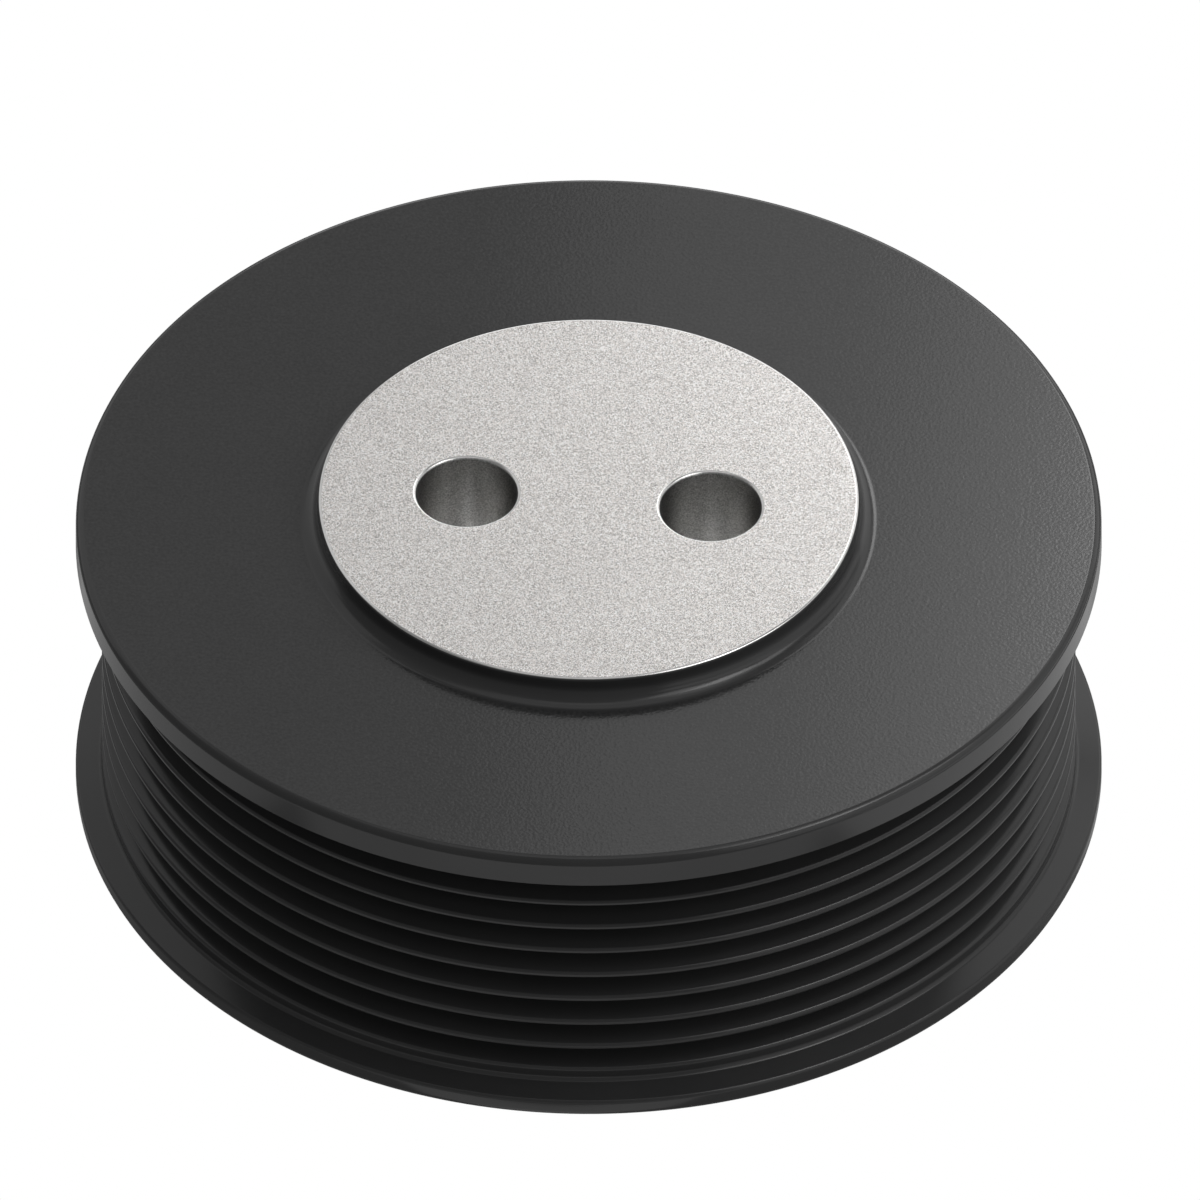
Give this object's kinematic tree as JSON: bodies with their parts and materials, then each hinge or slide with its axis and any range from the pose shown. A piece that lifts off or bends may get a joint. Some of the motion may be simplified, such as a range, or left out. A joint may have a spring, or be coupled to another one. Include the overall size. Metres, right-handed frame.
{
  "type": "crankshaft pulley",
  "caption": "One-piece black crankshaft pulley with V-grooved belt face between two flanges, a bare raised boss with bolt holes, and a pilot recess at the back.",
  "frame": {"origin": "on the pulley's axis, in the plane of its back face, on which it stands", "axes": "+Z along the axis towards the front face and the boss, +X along the line of the two bolt holes"},
  "size_m": [0.114, 0.114, 0.0412],
  "materials": {
    "black_coat": "semi-gloss black coating over turned iron, with the boss face, the bolt holes and the pilot recess left bare and finely blasted or machined"
  },
  "bodies": {
    "root": {"pulley": "black_coat"}
  },
  "joints": []
}
